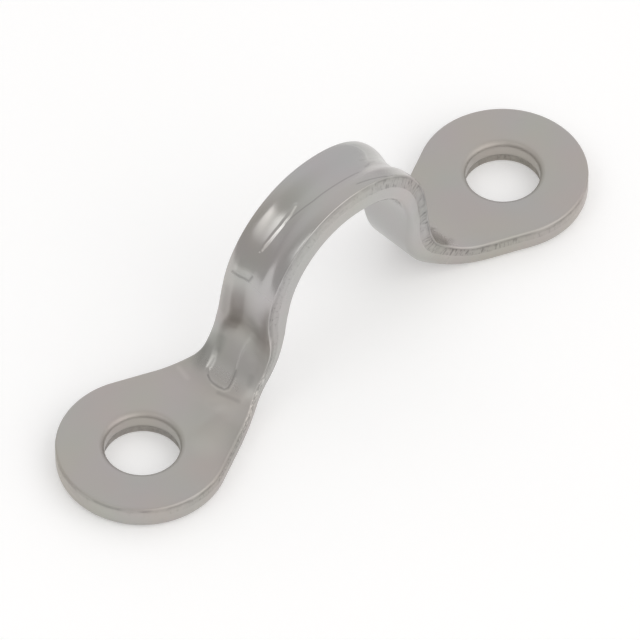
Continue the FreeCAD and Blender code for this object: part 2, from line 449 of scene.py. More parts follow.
# one of these attributes carries the painted shade of the corners and of the holes' broken walls
for name, kind, key, values in (("edge_out", "FLOAT_VECTOR", "vector", blank.out),
                                ("torn", "FLOAT", "value", blank.torn),
                                ("along_edge", "FLOAT", "value", blank.along),
                                ("grime", "FLOAT", "value", blank.grime)):
    carried = mesh.attributes.new(name, kind, "POINT")
    carried.data.foreach_set(key, np.array(values, np.float32).ravel())
flat = bpy.data.objects.new("flat_blank", mesh)
bpy.context.scene.collection.objects.link(flat)

skin = bmesh.new()
skin.from_mesh(mesh)
bmesh.ops.recalc_face_normals(skin, faces=skin.faces)
open_edges = sum(1 for edge in skin.edges if len(edge.link_faces) != 2)
skin.to_mesh(mesh)
skin.free()
print("open or doubled edges:", open_edges)

# %% [markdown]
# ## Sums written as nodes
#
# A node tree is a sum drawn as boxes and wires. Two small classes let it be written as text: each
# word adds a node, feeds it and hands back its output. They serve the tree that bends the blank, the
# materials and the world alike.

# %% Plain sums
class Sums:
    """Words for plain sums in a node tree."""

    def __init__(self, tree):
        self.tree = tree

    def node(self, kind, **settings):
        made = self.tree.nodes.new(kind)
        for key, value in settings.items():
            setattr(made, key, value)
        return made

    def feed(self, socket, value):
        """Wire an output to a socket, or write a plain number into it."""
        if hasattr(value, "is_linked"):
            self.tree.links.new(value, socket)
        else:
            socket.default_value = value

    def sum(self, operation, *values):
        made = self.node("ShaderNodeMath", operation=operation)
        for socket, value in zip(made.inputs, values):
            self.feed(socket, value)
        return made.outputs[0]

    def add(self, a, b):
        return self.sum("ADD", a, b)

    def take(self, a, b):
        return self.sum("SUBTRACT", a, b)

    def times(self, a, b):
        return self.sum("MULTIPLY", a, b)

    def over(self, a, b):
        return self.sum("DIVIDE", a, b)

    def sine(self, angle):
        return self.sum("SINE", angle)

    def cosine(self, angle):
        return self.sum("COSINE", angle)

    def between(self, value, low, high):
        return self.sum("MINIMUM", self.sum("MAXIMUM", value, low), high)

    def blend(self, first, second, share):
        """From the first value to the second, by a share from 0 to 1."""
        return self.add(first, self.times(self.take(second, first), share))


print("words for sums:", [word for word in vars(Sums) if not word.startswith("_")])


# %% Places, soft steps, drawn curves and grain
class Rule(Sums):
    """Words for a rule that says what happens at each place."""

    def soft(self, value, start, end):
        """Rise smoothly from 0 at start to 1 at end."""
        made = self.node("ShaderNodeMapRange", interpolation_type="SMOOTHSTEP")
        for name, fed in (("Value", value), ("From Min", start), ("From Max", end)):
            self.feed(made.inputs[name], fed)
        return made.outputs["Result"]

    def split(self, vector):
        made = self.node("ShaderNodeSeparateXYZ")
        self.feed(made.inputs[0], vector)
        return made.outputs

    def join(self, x, y, z):
        made = self.node("ShaderNodeCombineXYZ")
        for socket, value in zip(made.inputs, (x, y, z)):
            self.feed(socket, value)
        return made.outputs[0]

    def drawn(self, value, low, high, points, out_low, out_high):
        """Read a drawn curve: value from low to high, points as pairs of place and height."""
        made = self.node("ShaderNodeFloatCurve")
        curve = made.mapping.curves[0]
        while len(curve.points) < len(points):
            curve.points.new(0.5, 0.5)
        for point, (across, height) in zip(curve.points, points):
            point.location = ((across - low) / (high - low), height)
            point.handle_type = "AUTO_CLAMPED"
        made.mapping.use_clip = True
        made.mapping.update()
        self.feed(made.inputs["Value"], self.over(self.take(value, low), high - low))
        return self.add(out_low, self.times(made.outputs[0], out_high - out_low))

    def noise(self, place, scale, detail, rough):
        """Grain from 0 to 1 at a place."""
        made = self.node("ShaderNodeTexNoise", noise_dimensions="3D")
        for name, fed in (("Vector", place), ("Scale", scale), ("Detail", detail), ("Roughness", rough)):
            self.feed(made.inputs[name], fed)
        return made.outputs[0]


print("words for places:", [word for word in vars(Rule) if not word.startswith("_")])

# %% [markdown]
# ## Press and bend
#
# This is the step that takes the most skill on the real part, because the trough, the bend and the
# pinched edges all come out of one press stroke. Here it is one rule in a Geometry Nodes tree: a
# point of the blank knows its run from the crown, so it knows where the path has got to and which way
# it faces. The trough pushes the upper face in. Bending draws the outside of a bend narrower and
# squeezes its inside wider, so the sides flare with depth. The torn band is roughened last.
#
# The tree's inputs are the sizes that a maker would want to change, under the names they would use.

# %% The tree and its inputs
# the flare grows from the flat foot at a rate that this half width and the taper's angle set
SPREAD_HALF_WIDTH = 4.55 * MM
settings = {
    "Sheet thickness": SHEET,
    "Crown height": CROWN_HEIGHT,
    "Arch radius": ARCH_RADIUS,
    "Leg length": LEG_STRAIGHT,
    "Foot bend radius": FOOT_BEND_RADIUS,
    "Turn angle": TURN,
    "Far shoulder fullness": FAR_SHOULDER_FULLNESS,
    "Side strain share": SIDE_STRAIN_SHARE,
    "Spread run": math.pi / 4 * SPREAD_HALF_WIDTH / math.tan(TAPER),
    "Trough depth": 0.45 * MM,
    "Trough end": 27.3 * MM,
    "Trough end length": 0.35 * MM,
    "Torn depth": 0.07 * MM,
}
tree = bpy.data.node_groups.new("press_and_bend", "GeometryNodeTree")
tree.interface.new_socket("Geometry", in_out="INPUT", socket_type="NodeSocketGeometry")
tree.interface.new_socket("Geometry", in_out="OUTPUT", socket_type="NodeSocketGeometry")
for name in settings:
    tree.interface.new_socket(name, in_out="INPUT", socket_type="NodeSocketFloat")
tree.interface.new_socket("Finish", in_out="INPUT", socket_type="NodeSocketMaterial")

rule = Rule(tree)
given = rule.node("NodeGroupInput").outputs
place = rule.node("GeometryNodeInputPosition").outputs[0]
blank_x, blank_y, blank_z = rule.split(place)
print("press_and_bend:", len(settings), "sizes as inputs")

# %% [markdown]
# ## The path of the upper face
#
# Along the strap, a point passes the arch, the leg, the foot bend and then the flat lug. How far it
# has got on each of them follows from its run alone. The shoulder towards the far lug stands a little
# fuller than a circle. So the arch's radius grows there and shrinks back, and the face tilts with it.

# %% How far a point has got along the path
sheet, turn_angle = given["Sheet thickness"], given["Turn angle"]
half_sheet = rule.times(sheet, 0.5)
arch_middle = rule.take(given["Arch radius"], half_sheet)
bend_middle = rule.add(given["Foot bend radius"], half_sheet)
arch_run = rule.times(turn_angle, arch_middle)
bend_start = rule.add(arch_run, given["Leg length"])
bend_end = rule.add(bend_start, rule.times(turn_angle, bend_middle))

depth = rule.times(blank_z, -1.0)
from_crown = rule.sum("ABSOLUTE", blank_x)
side_sign = rule.sum("SIGN", blank_x)
on_far_side = rule.sum("GREATER_THAN", blank_x, 0.0)
arch_angle = rule.over(rule.sum("MINIMUM", from_crown, arch_run), arch_middle)
leg = rule.between(rule.take(from_crown, arch_run), 0.0, given["Leg length"])
bend_angle = rule.between(rule.over(rule.take(from_crown, bend_start), bend_middle), 0.0, turn_angle)
foot = rule.sum("MAXIMUM", rule.take(from_crown, bend_end), 0.0)
print("path so far:", len(tree.nodes), "nodes")

# %% The fuller far shoulder
fullness = rule.times(given["Far shoulder fullness"], on_far_side)
shoulder = rule.over(rule.times(arch_angle, math.pi), turn_angle)
arch_radius = rule.add(given["Arch radius"],
                       rule.times(fullness, rule.sum("POWER", rule.sine(shoulder), 2.0)))
growth = rule.times(rule.over(rule.times(fullness, math.pi), turn_angle),
                    rule.sine(rule.times(shoulder, 2.0)))
shoulder_tilt = rule.sum("ARCTAN2", growth, arch_radius)
print("with the shoulder:", len(tree.nodes), "nodes")

# %% Where the path is, and which way it faces
left_to_turn = rule.take(turn_angle, bend_angle)
path_x = rule.add(rule.add(rule.times(arch_radius, rule.sine(arch_angle)),
                           rule.times(leg, rule.cosine(turn_angle))),
                  rule.add(rule.times(given["Foot bend radius"],
                                      rule.take(rule.sine(turn_angle), rule.sine(left_to_turn))), foot))
path_z = rule.add(rule.take(given["Crown height"], given["Arch radius"]),
                  rule.times(arch_radius, rule.cosine(arch_angle)))
path_z = rule.take(path_z, rule.times(leg, rule.sine(turn_angle)))
path_z = rule.take(path_z, rule.times(given["Foot bend radius"],
                                      rule.take(rule.cosine(left_to_turn), rule.cosine(turn_angle))))
facing_angle = rule.take(rule.take(arch_angle, shoulder_tilt), bend_angle)
print("whole path:", len(tree.nodes), "nodes")

# %% [markdown]
# ## The sides flare
#
# Steel that is stretched along the strap gets narrower across it, and steel that is squeezed gets
# wider. On the arch the upper face is the stretched one, in the foot bend it is the squeezed one. The
# two swap over in the middle of the leg, and the flare fades out where the foot bend ends.

# %% Narrower outside a bend, wider inside it
arch_spread = rule.over(rule.times(given["Side strain share"], half_sheet), arch_middle)
foot_spread = rule.over(rule.times(given["Side strain share"], half_sheet), bend_middle)
to_foot = rule.between(rule.over(rule.take(bend_end, from_crown), given["Spread run"]), 0.0, 1.0)
foot_part = rule.times(foot_spread, rule.sine(rule.times(to_foot, math.pi / 2)))
leg_middle = rule.times(rule.add(arch_run, bend_start), 0.5)
foot_share = rule.soft(from_crown, rule.take(leg_middle, sheet), rule.add(leg_middle, sheet))
spread = rule.take(rule.times(foot_share, foot_part),
                   rule.times(rule.take(1.0, foot_share), arch_spread))
deep_share = rule.over(depth, sheet)
flare = rule.add(1.0, rule.times(spread, rule.take(1.0, rule.times(deep_share, 2.0))))
print("with the flare:", len(tree.nodes), "nodes")

# %% [markdown]
# ## The trough
#
# The punch leaves a trough with a near wall, a floor and a far wall. Over the bow both walls are
# gentle. On the near leg the near wall is one long slope that ends in a crease by the far wall. By
# the feet the trough is shallow, with steep walls and a wide floor. Each section below is five
# numbers: where the near wall starts and ends and where the far wall starts and ends, in millimetres
# across the strap, and its share of the full depth.
#
# The trough's lines were never quite straight, so the whole section also wanders sideways by a few
# tenths of a millimetre. A drawn curve says how far.

# %% Sections of the trough
ARCH_SECTION = (-2.75, -0.95, 0.25, 2.7, 1.0)
LEG_SECTION = (-3.3, 0.7, 0.75, 2.6, 1.0)
FOOT_SECTION = (-1.15, -0.65, 1.75, 2.4, 0.36)
# the near leg's section starts and is full at these runs, and so does the one by the feet
LEG_FROM, LEG_FULL = 10 * MM, 14 * MM
FOOT_FROM, FOOT_FULL = 18 * MM, 23 * MM
# the section's shift in millimetres at places along the strap, drawn between -1 and 1
WANDER_REACH = 30 * MM
WANDER = [(x * MM, 0.5 + shift / 2) for x, shift in (
    (-30, 0.1), (-26, -0.15), (-22, 0.42), (-19, 0.05), (-16, -0.4), (-10, -0.1), (-4, 0.0), (2, 0.0),
    (6, 0.35), (12, 0.3), (22, 0.1), (30, 0.0))]
wander = rule.drawn(blank_x, -WANDER_REACH, WANDER_REACH, WANDER, -1 * MM, 1 * MM)
section_y = rule.take(blank_y, wander)


def walls(near_start, near_end, far_start, far_end, share):
    """Share of the trough's depth across the strap: down the near wall and up the far one."""
    near = rule.soft(section_y, near_start * MM, near_end * MM)
    far = rule.soft(section_y, far_start * MM, far_end * MM)
    return rule.times(rule.times(near, rule.take(1.0, far)), share)


on_near_leg = rule.times(rule.soft(from_crown, LEG_FROM, LEG_FULL), rule.take(1.0, on_far_side))
by_foot = rule.soft(from_crown, FOOT_FROM, FOOT_FULL)
section = rule.blend(walls(*ARCH_SECTION), walls(*LEG_SECTION), on_near_leg)
section = rule.blend(section, walls(*FOOT_SECTION), by_foot)
print("with the trough's walls:", len(tree.nodes), "nodes")

# %% [markdown]
# ## Where the trough ends, and the strap's own edges
#
# The trough ends in the foot bend, in a steep wall shaped like a U. A fourth power of the distance
# from its middle line gives that shape: flat in the middle and quickly round at the sides. The punch
# also drew the strap's edges down a little outside the trough, though hardly on the near side of the
# bow.

# %% The U-shaped end and the falling edges
END_MIDDLE = 0.35 * MM
END_HALF_WIDTH = 2.0 * MM
END_ROUND = 1.6 * MM
# the edges fall off outside this line, by these shares of the trough's depth
EDGE_LINE, EDGE_FALL, NEAR_ARCH_FALL = 2.9 * MM, 0.28, 0.07
NEAR_ARCH_TO, NEAR_ARCH_GONE = 12 * MM, 18 * MM
EDGE_FADE = 6 * MM

from_middle = rule.sum("ABSOLUTE", rule.take(section_y, END_MIDDLE))
end_bow = rule.times(rule.sum("POWER", rule.over(from_middle, END_HALF_WIDTH), 4.0), END_ROUND)
to_end = rule.take(rule.take(given["Trough end"], end_bow), from_crown)
end_wall = rule.soft(to_end, 0.0, given["Trough end length"])

past_line = rule.take(rule.sum("ABSOLUTE", blank_y), EDGE_LINE)
outside = rule.between(rule.over(past_line, HALF_STRAP - EDGE_LINE), 0.0, 1.0)
on_near_arch = rule.times(rule.take(1.0, rule.soft(from_crown, NEAR_ARCH_TO, NEAR_ARCH_GONE)),
                          rule.sum("LESS_THAN", blank_y, 0.0))
fall = rule.take(EDGE_FALL, rule.times(on_near_arch, EDGE_FALL - NEAR_ARCH_FALL))
fall = rule.times(fall, rule.soft(from_crown, bend_end, rule.take(bend_end, EDGE_FADE)))
fall = rule.times(fall, rule.times(outside, outside))
trough = rule.times(rule.add(rule.times(section, end_wall), fall), given["Trough depth"])
sink = rule.times(trough, rule.take(1.0, deep_share))
print("with the whole trough:", len(tree.nodes), "nodes")

# %% [markdown]
# ## The torn band
#
# The torn band is rough in the mesh too, so it catches light from every side. Noise gives scratches
# of different lengths that run down the edge. They are always cut into the metal, never built up on
# it, so the part stays inside its size.

# %% Scratches down the torn band
SCRATCHES_ALONG, SCRATCHES_DOWN = 1600.0, 500.0


def carried_by_point(name, kind="FLOAT"):
    """What the blank's points carry under that name."""
    named = rule.node("GeometryNodeInputNamedAttribute", data_type=kind)
    named.inputs["Name"].default_value = name
    return named.outputs["Attribute"]


torn = carried_by_point("torn")
along = carried_by_point("along_edge")
edge_out = carried_by_point("edge_out", "FLOAT_VECTOR")
scratch_place = rule.join(rule.times(along, SCRATCHES_ALONG), rule.times(depth, SCRATCHES_DOWN), 0.0)
scratches = rule.noise(scratch_place, 1.0, 3.0, 0.6)
cut = rule.times(rule.times(torn, given["Torn depth"]), scratches)
out_x, out_y, _ = rule.split(edge_out)
torn_x = rule.take(0.0, rule.times(out_x, cut))
torn_y = rule.take(0.0, rule.times(out_y, cut))
print("with the torn band:", len(tree.nodes), "nodes")

# %% [markdown]
# ## Put it together
#
# A point's place is the path's place, less its depth along the way the path faces. Before it moves,
# each point stores where it lay on the blank, because the steel's grain is laid out there.

# %% Move every point, and give the steel
down = rule.add(depth, sink)
bent_x = rule.times(side_sign, rule.take(path_x, rule.times(down, rule.sine(facing_angle))))
bent_z = rule.take(path_z, rule.times(down, rule.cosine(facing_angle)))
bent_y = rule.times(blank_y, flare)
bent = rule.join(rule.add(bent_x, torn_x), rule.add(bent_y, torn_y), bent_z)

remember = rule.node("GeometryNodeStoreNamedAttribute", data_type="FLOAT_VECTOR", domain="POINT")
remember.inputs["Name"].default_value = "blank_place"
rule.feed(remember.inputs["Geometry"], given["Geometry"])
rule.feed(remember.inputs["Value"], place)
move = rule.node("GeometryNodeSetPosition")
rule.feed(move.inputs["Geometry"], remember.outputs["Geometry"])
rule.feed(move.inputs["Position"], bent)
solid = rule.node("GeometryNodeRealizeInstances")
rule.feed(solid.inputs[0], move.outputs[0])
finish = rule.node("GeometryNodeSetMaterial")
rule.feed(finish.inputs["Geometry"], solid.outputs[0])
rule.feed(finish.inputs["Material"], given["Finish"])
rule.feed(rule.node("NodeGroupOutput").inputs[0], finish.outputs[0])
print("press_and_bend:", len(tree.nodes), "nodes")

# %% [markdown]
# ## The finish
#
# Tumbling leaves stainless steel satin: it still mirrors, but softly. The two faces keep faint marks
# of rolling and of the die. The torn band of the sheared edge is dull and full of short dark strokes
# that run from face to face. All of it reads where a point lay on the flat blank, so the grain follows
# the bend as it does on the real strip.
#
# Three kinds of words help here: what a point remembers, a stretch along the run, and what lies above
# or below a depth. Each is a share from 0 to 1, and shares are multiplied where several must hold.

# %% The steel, and words for where a finish lies
steel = bpy.data.materials.new("tumbled_stainless")
steel.use_nodes = True
words = Rule(steel.node_tree)
shader = steel.node_tree.nodes["Principled BSDF"]
shader.inputs["Metallic"].default_value = 1.0


def remembered(name, output="Fac"):
    """What a point of the skin remembers under that name."""
    return words.node("ShaderNodeAttribute", attribute_name=name).outputs[output]


lie = remembered("blank_place", "Vector")
torn_here = remembered("torn")
edge_run = remembered("along_edge")
# the painted shade that the points carry
grime_here = remembered("grime")
lie_x, lie_y, lie_z = words.split(lie)
flat_lie = words.join(lie_x, lie_y, 0.0)
near_x = words.times(lie_x, -1.0)
by_near_edge = words.soft(lie_y, -3 * MM, -3.6 * MM)


def stretch(left_out, left_in, right_in, right_out):
    """1 on a stretch of the strap and 0 beyond its outer ends, in millimetres from the crown."""
    return words.times(words.soft(lie_x, right_out * MM, right_in * MM),
                       words.soft(lie_x, left_out * MM, left_in * MM))


def above(full, gone):
    """1 down to the first depth under the upper face and 0 from the second, in millimetres."""
    return words.soft(lie_z, -gone * MM, -full * MM)


def below(start, full):
    """0 down to the first depth under the upper face and 1 from the second, in millimetres."""
    return words.soft(lie_z, -start * MM, -full * MM)


def grain_along(scale, slot):
    """Grain that changes only along the edge. Each use has a slot of its own in the noise."""
    return words.noise(words.join(words.times(edge_run, scale), 0.0, slot), 1.0, 1.0, 0.5)


print("tumbled_stainless:", len(steel.node_tree.nodes), "nodes to start with")

# %% [markdown]
# ## Strokes in the torn band
#
# The strokes are long on the far leg and short on the bow and the near leg. They come from noise that
# changes fast along the edge and slowly down it. They thin out in patches, and the near taper, which
# was cut roughest, has the most. The border of the torn band is ragged.

# %% Dark strokes from face to face
STROKES_ALONG = 4200.0
STROKES_DOWN, FAR_STRETCHED = 2600.0, 1700.0
NEAR_THINNED, TAPER_ROUGH = 0.05, 0.07
STROKE_FROM, STROKE_FULL = 0.48, 0.64
PATCHES_ALONG, PATCH_FROM, PATCH_FULL = 420.0, 0.25, 0.55
RAGGED_ALONG, RAGGED_DOWN, RAGGED_BY = 1500.0, 900.0, 0.7
BAND_FROM, BAND_FULL = 0.1, 0.5

far_share = words.soft(lie_x, -2 * MM, 8 * MM)
taper = words.times(stretch(-38, -34, -26, -23), by_near_edge)
down_scale = words.take(STROKES_DOWN, words.times(far_share, FAR_STRETCHED))
stroke_place = words.join(words.times(edge_run, STROKES_ALONG), words.times(lie_z, down_scale), 0.0)
stroke_noise = words.add(words.noise(stroke_place, 1.0, 2.0, 0.6),
                         words.times(words.take(far_share, 1.0), NEAR_THINNED))
stroke_noise = words.add(stroke_noise, words.times(taper, TAPER_ROUGH))
strokes = words.soft(stroke_noise, STROKE_FROM, STROKE_FULL)
patches = words.soft(grain_along(PATCHES_ALONG, 5.0), PATCH_FROM, PATCH_FULL)

ragged_place = words.join(words.times(edge_run, RAGGED_ALONG), words.times(lie_z, RAGGED_DOWN), 3.0)
ragged = words.noise(ragged_place, 1.0, 3.0, 0.6)
ragged_torn = words.add(torn_here, words.times(words.take(ragged, 0.5), RAGGED_BY))
band = words.soft(ragged_torn, BAND_FROM, BAND_FULL)
dark_stroke = words.times(words.times(band, strokes),
                          words.times(words.soft(torn_here, 0.0, 0.8), patches))
print("with strokes:", len(steel.node_tree.nodes), "nodes")

# %% [markdown]
# ## Marks on the upper face
#
# A press leaves lines where its die pinched the sheet, and years of use leave nicks, creases and a
# rubbed spot. Most of the tones are painted light, though: painted shade darkens creases, the bends
# and some patches, and painted highlights lighten lines and patches. Each mark is a line through
# places of the flat blank (run and side, in millimetres) with a width in millimetres, a change of tone
# and a height in micrometres. Both fade to nothing at that width. Three tables keep them: those on the
# bow, those by the lugs, and the broad faint ones.

# %% The pressed lines, the ridge, a nick and painted highlights
PRESSED_MARKS_AND_PAINTED_LIGHT = (
    # the pressed line over the crown, and the one that runs out at its near corner, in painted shade
    (((-5.5, 0.0), (-2.2, -0.74), (0.6, -0.95), (3.8, -1.11)), 0.15, -0.22, -4),
    (((2.0, -2.76), (3.6, -3.15), (5.3, -3.6)), 0.14, -0.26, -4),
    # the ridge by the far wall, and two lines of painted highlight along it
    (((-9.0, 0.68), (-7.6, 0.42), (-6.0, 0.24), (-4.6, 0.26), (-3.5, 0.5)), 0.36, 0.0, 70),
    (((-8.9, 0.50), (-7.6, 0.25), (-6.0, 0.07), (-4.6, 0.09), (-3.6, 0.34)), 0.24, 0.6, 0),
    (((-8.3, 0.42), (-7.6, 0.27), (-6.2, 0.11)), 0.38, 0.4, 0),
    # a nick straight across the near side of the bow, with a rubbed spot above it
    (((-12.3, 2.7), (-12.33, 0.5), (-11.7, 0.25)), 0.28, -0.28, -10),
    (((-11.7, 2.5), (-11.6, 0.8)), 0.5, 0.12, 0),
)
print(len(PRESSED_MARKS_AND_PAINTED_LIGHT), "marks on the bow")

# %% The trough's end and creases by the lugs, in painted shade and painted highlights
END_MARKS_AND_PAINTED_LIGHT = (
    # the outline of the trough's end: a line of painted shade inside, one of painted highlight outside
    (((-20.3, -0.68), (-21.6, -0.5), (-23.2, -0.65), (-24.2, -0.83)), 0.15, -0.10, 0),
    (((-24.2, -0.83), (-25.85, -1.15), (-26.55, -1.28), (-27.05, -1.05), (-27.27, -0.45),
      (-27.32, 0.27), (-27.2, 0.88), (-26.87, 1.4)), 0.2, -0.28, 0),
    (((-26.87, 1.4), (-26.0, 1.75), (-24.6, 1.95)), 0.15, -0.12, 0),
    (((-25.0, -1.3), (-26.0, -1.5), (-26.8, -1.58), (-27.35, -1.2), (-27.6, -0.4), (-27.58, 0.36)),
     0.2, 0.14, 0),
    # where the bends meet the lugs: two painted highlights, two darker patches, painted shade at the far
    # foot
    (((-28.4, 4.5), (-28.8, 3.0)), 0.6, 0.10, 0),
    (((-26.0, 2.0), (-24.5, 2.15)), 0.3, 0.20, 0),
    (((-27.9, -0.85), (-27.55, -1.9), (-27.2, -3.1)), 0.5, -0.16, 0),
    (((-29.6, -1.4), (-28.2, -2.4)), 0.8, -0.05, 0),
    (((24.2, -2.4), (24.8, -3.4), (26.8, -3.2)), 0.6, -0.14, 0),
)
print(len(END_MARKS_AND_PAINTED_LIGHT), "marks by the lugs")

# %% Broad painted shade and highlights, and crescents over the far shoulder
BROAD_MARKS_AND_PAINTED_LIGHT = (
    # painted shade on the near bend and flank and on a few patches, and painted highlights
    # by the near edge, on the near leg and on the near lug
    (((-24.4, 3.4), (-26.0, 2.9)), 1.7, -0.20, 0),
    (((-21.8, 2.2), (-23.3, 2.1)), 0.8, -0.16, 0),
    (((-23.8, 2.2), (-25.4, 2.1)), 0.9, -0.10, 0),
    (((-14.5, 2.9), (-17.5, 2.9)), 1.1, -0.09, 0),
    (((-16.2, -2.4), (-17.9, -3.2), (-19.5, -3.1)), 1.6, 0.19, 0),
    (((-17.4, 0.5), (-17.7, -1.2)), 1.1, 0.11, 0),
    (((-23.7, -2.7), (-24.6, -3.0)), 0.7, -0.10, 0),
    (((-33.4, -5.2), (-31.0, -4.4), (-29.0, -2.9)), 3.2, 0.13, 0),
    (((7.0, -1.7), (5.4, -2.7)), 1.6, -0.08, 0),
    # crescents over the far shoulder, in low relief with painted highlight and painted shade
    (((5.6, 3.1), (6.5, 2.4), (7.1, 1.55), (6.3, 0.2)), 0.25, 0.10, 3),
    (((5.3, 0.5), (6.6, 0.5), (8.0, 0.6)), 0.22, -0.12, -3),
    (((5.0, -0.7), (6.2, -0.25), (7.0, -0.1)), 0.22, -0.12, -3),
)
MARKS = PRESSED_MARKS_AND_PAINTED_LIGHT + END_MARKS_AND_PAINTED_LIGHT + BROAD_MARKS_AND_PAINTED_LIGHT
print(len(MARKS), "marks on the upper face")


# %% How near a place is to a mark
def mark(from_x, from_y, to_x, to_y, width):
    """1 on the line between two places, 0 beyond its width."""
    start = Vector((from_x, from_y, 0)) * MM
    step = Vector((to_x - from_x, to_y - from_y, 0)) * MM
    offset = words.node("ShaderNodeVectorMath", operation="SUBTRACT")
    words.feed(offset.inputs[0], flat_lie)
    offset.inputs[1].default_value = start
    dot = words.node("ShaderNodeVectorMath", operation="DOT_PRODUCT")
    words.feed(dot.inputs[0], offset.outputs[0])
    dot.inputs[1].default_value = step / step.length_squared
    reach = words.between(dot.outputs["Value"], 0.0, 1.0)
    foot_point = words.node("ShaderNodeVectorMath", operation="SCALE")
    foot_point.inputs[0].default_value = step
    words.feed(foot_point.inputs["Scale"], reach)
    gap = words.node("ShaderNodeVectorMath", operation="DISTANCE")
    words.feed(gap.inputs[0], offset.outputs[0])
    words.feed(gap.inputs[1], foot_point.outputs[0])
    return words.soft(gap.outputs["Value"], width * MM, 0.0)


# %% Tone and relief of all the marks, the tone mostly painted light
MICROMETRE = 0.001 * MM
DARKEST_MARK, BRIGHTEST_MARK = -0.3, 0.6
marks_and_painted_light_tone, marks_relief = 0.0, 0.0
for places, width, tone, height in MARKS:
    shape = 0.0
    for start, end in zip(places, places[1:]):
        shape = words.sum("MAXIMUM", shape, mark(*start, *end, width))
    if tone:
        marks_and_painted_light_tone = words.add(marks_and_painted_light_tone, words.times(shape, tone))
    if height:
        marks_relief = words.add(marks_relief, words.times(shape, height * MICROMETRE))
on_upper_face = above(0.1, 0.35)
marks_and_painted_light_tone = words.between(marks_and_painted_light_tone, DARKEST_MARK, BRIGHTEST_MARK)
marks_and_painted_light_tone = words.add(1.0, words.times(marks_and_painted_light_tone, on_upper_face))
marks_relief = words.times(marks_relief, on_upper_face)
print("with marks:", len(steel.node_tree.nodes), "nodes")

# %% [markdown]
# ## Painted shade and painted glints
#
# A thin dark line of painted shade lies in the corner under the upper face, and painted shade darkens
# the broken walls of the holes. It comes and goes along the corner. By the near neck, where the cut is
# roughest, small specks of painted glint lighten the edge. Both change only the tone of the steel.

# %% Tone of the edge, with painted shade and painted glints
STROKE_TONE, BAND_TONE = 0.35, 0.04
PAINTED_SHADE_TONE, RAGGED_PAINTED_SHADE = 0.17, 0.30
SHADE_GAPS_ALONG, SHADE_GAPS_FROM, SHADE_GAPS_FULL, SHADE_GAPS_CLEAR = 330.0, 0.45, 0.6, 0.85
GLINTS_ALONG, GLINTS_DOWN, GLINT_FROM, GLINT_FULL, GLINT_TONE = 1300.0, 4000.0, 0.47, 0.57, 0.5

edge_tone = words.take(1.0, words.add(words.times(dark_stroke, STROKE_TONE),
                                      words.times(band, BAND_TONE)))
# painted shade: a dark line in the corner and in the broken walls, with gaps along the corner
by_corner = above(0.6, 0.9)
shade_gaps = words.soft(grain_along(SHADE_GAPS_ALONG, 9.0), SHADE_GAPS_FROM, SHADE_GAPS_FULL)
grime_left = words.take(1.0, words.times(words.times(shade_gaps, by_corner), SHADE_GAPS_CLEAR))
grime_tone = words.add(PAINTED_SHADE_TONE, words.times(ragged, RAGGED_PAINTED_SHADE))
edge_tone = words.take(edge_tone, words.times(words.times(grime_here, grime_left), grime_tone))

# painted glints: small bright specks on the edge by the near neck
glint_place = words.join(words.times(edge_run, GLINTS_ALONG), words.times(lie_z, GLINTS_DOWN), 11.0)
painted_glints = words.soft(words.noise(glint_place, 1.0, 2.0, 0.6), GLINT_FROM, GLINT_FULL)
painted_glints = words.times(words.times(painted_glints, below(0.02, 0.08)), above(0.9, 1.7))
painted_glints = words.times(words.times(painted_glints, stretch(-32, -27, -24, -21)), by_near_edge)
edge_tone = words.add(edge_tone, words.times(painted_glints, GLINT_TONE))
print("with grime and specks:", len(steel.node_tree.nodes), "nodes")

# %% [markdown]
# ## Colour
#
# Plain steel isn't one grey. Its skin is a little warmer here and cooler there, in soft clouds much
# larger than the grain. The flat lugs keep a slightly warmer skin than the rubbed bow, and the near
# leg, rubbed in use, is a little lighter. Red, green and blue get the same sum with different shares.

# %% Tints of the skin
WARM_CLOUDS, GREEN_CLOUDS = 130.0, 170.0
LEG_TONE = 0.05
# for red, green and blue: the steel's own value, and its shares of both clouds and the lugs' skin
CHANNELS = ((0.475, 0.10, -0.06, 0.0), (0.4635, 0.0, 0.07, -0.025), (0.4485, -0.10, -0.03, -0.055))
warm = words.noise(lie, WARM_CLOUDS, 1.0, 0.4)
green = words.noise(words.join(lie_y, lie_x, lie_z), GREEN_CLOUDS, 1.0, 0.4)
on_leg = words.times(words.soft(near_x, 11 * MM, 15 * MM),
                     words.take(1.0, words.soft(near_x, 22 * MM, 26 * MM)))
lug_skin = words.soft(words.sum("ABSOLUTE", lie_x), 22 * MM, 30 * MM)


def tinted(own, by_warm, by_green, by_lug):
    """One channel of the steel's colour."""
    tone = words.add(1.0, words.add(words.times(words.take(warm, 0.5), by_warm),
                                    words.times(words.take(green, 0.5), by_green)))
    tone = words.add(tone, words.add(words.times(lug_skin, by_lug), words.times(on_leg, LEG_TONE)))
    return words.times(words.times(tone, own), words.times(edge_tone, marks_and_painted_light_tone))


colour = words.node("ShaderNodeCombineColor")
for socket, channel in zip(colour.inputs, CHANNELS):
    words.feed(socket, tinted(*channel))
words.feed(shader.inputs["Base Color"], colour.outputs[0])
print("with colour:", len(steel.node_tree.nodes), "nodes")

# %% [markdown]
# ## Gloss
#
# Roughness says how softly the steel mirrors. The bow is the glossiest, with faint streaks along the
# strip from rolling. The lugs, the rubbed near leg and the worn corner of the near bend are duller.
# Tumbling also leaves every rounded corner duller than the face, and the torn band is dull.

# %% Satin, streaks and dull places
# roughness of the bow, how much streaks and clouds change it, and what duller places add
BOW_ROUGHNESS, BY_STREAKS, BY_CLOUDS = 0.215, 0.03, 0.06
LEG_DULL, LUG_DULL, WORN_DULL, ROUNDED_DULL, BAND_DULL = 0.20, 0.11, 0.14, 0.2, 0.2
STREAKS_ALONG, STREAKS_ACROSS, CLOUDS = 60.0, 1900.0, 420.0

